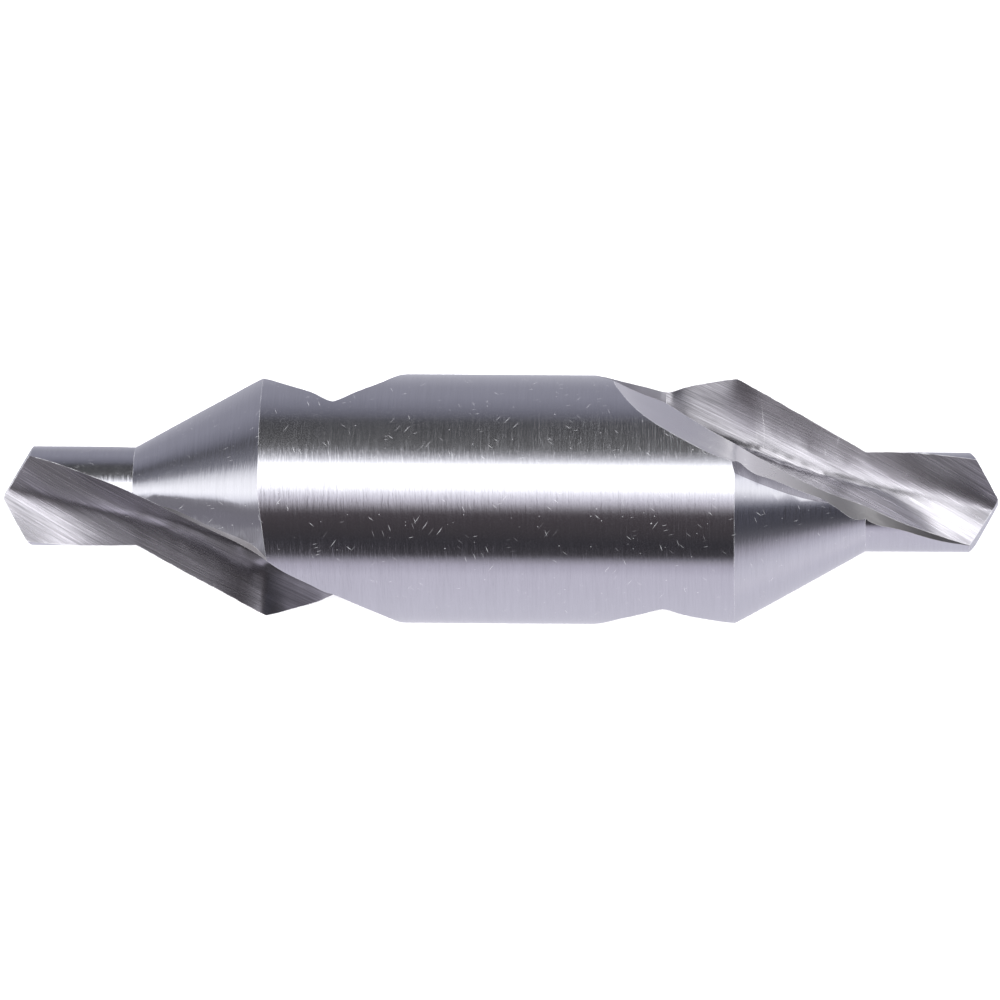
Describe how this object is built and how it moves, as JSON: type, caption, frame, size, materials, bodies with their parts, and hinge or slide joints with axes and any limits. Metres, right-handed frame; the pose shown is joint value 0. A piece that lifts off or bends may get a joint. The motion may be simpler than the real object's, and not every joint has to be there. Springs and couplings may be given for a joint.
{
  "type": "centre drill",
  "caption": "Double-ended centre drill for 60 degree centre holes: a short spiral-fluted pilot and cone at each end of a plain round body.",
  "frame": {"origin": "middle of the tool, on its axis", "axes": "+X along the tool's axis, towards the end with the faceted heels; +Z is the side that the picture shows, and the tool lies on -Z"},
  "size_m": [0.1, 0.025, 0.025],
  "materials": {
    "ground_steel": "ground bright all over, with fine wheel marks round the lands and along the flutes"
  },
  "bodies": {
    "root": {"centre_drill": "ground_steel"}
  },
  "joints": []
}
